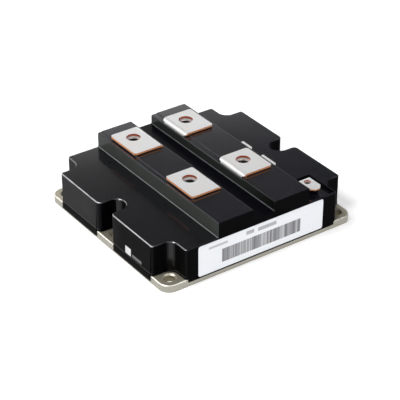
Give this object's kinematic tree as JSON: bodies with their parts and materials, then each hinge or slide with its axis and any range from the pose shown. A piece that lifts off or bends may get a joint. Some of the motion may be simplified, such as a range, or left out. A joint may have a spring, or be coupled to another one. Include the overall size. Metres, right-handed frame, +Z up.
{
  "type": "igbt module",
  "caption": "Single-switch power semiconductor module: flat metal base, black housing with two ridges, screw-down power terminals and small auxiliary tabs.",
  "frame": {"origin": "middle of the underside of the base plate", "axes": "+X across the two ridges, from the collector row to the emitter row; +Y along the ridges, away from the face with the label; +Z up, away from the base"},
  "size_m": [0.141, 0.1308, 0.038],
  "materials": {
    "plate": "nickel-plated metal composite, dull",
    "housing_plastic": "black glass-filled moulding, fine satin grain",
    "sealant": "cured silicone adhesive",
    "label_film": "white satin film with plain grey fields",
    "plated_metal": "nickel-plated copper strip, bare copper at the cut edges",
    "nut_steel": "plated steel",
    "copper": "bare copper",
    "insulation": "pale sheet",
    "board": "green coated laminate",
    "pin_metal": "plated wire",
    "substrate": "fired ceramic",
    "silicon": "metallised chip top",
    "wire": "bonding wire"
  },
  "bodies": {
    "root": {"baseplate": "plate", "housing": "housing_plastic", "housing_seal": "sealant", "side_label": "label_film", "collector_terminal_rear": "plated_metal", "collector_terminal_front": "plated_metal", "emitter_terminal_rear": "plated_metal", "emitter_terminal_front": "plated_metal", "collector_sense_tab": "plated_metal", "emitter_sense_tab": "plated_metal", "gate_tab": "plated_metal", "terminal_nuts": "nut_steel", "aux_nuts": "nut_steel", "collector_bus": "copper", "emitter_bus": "copper", "bus_insulator": "insulation", "gate_board": "board", "gate_pins": "pin_metal", "base_copper_1": "copper", "collector_pad_1": "copper", "emitter_pad_1": "copper", "gate_pad_1": "copper", "ceramic_1": "substrate", "igbt_chips_1": "silicon", "diode_chips_1": "silicon", "bond_wires_1": "wire", "base_copper_2": "copper", "collector_pad_2": "copper", "emitter_pad_2": "copper", "gate_pad_2": "copper", "ceramic_2": "substrate", "igbt_chips_2": "silicon", "diode_chips_2": "silicon", "bond_wires_2": "wire", "base_copper_3": "copper", "collector_pad_3": "copper", "emitter_pad_3": "copper", "gate_pad_3": "copper", "ceramic_3": "substrate", "igbt_chips_3": "silicon", "diode_chips_3": "silicon", "bond_wires_3": "wire", "base_copper_4": "copper", "collector_pad_4": "copper", "emitter_pad_4": "copper", "gate_pad_4": "copper", "ceramic_4": "substrate", "igbt_chips_4": "silicon", "diode_chips_4": "silicon", "bond_wires_4": "wire"}
  },
  "joints": []
}
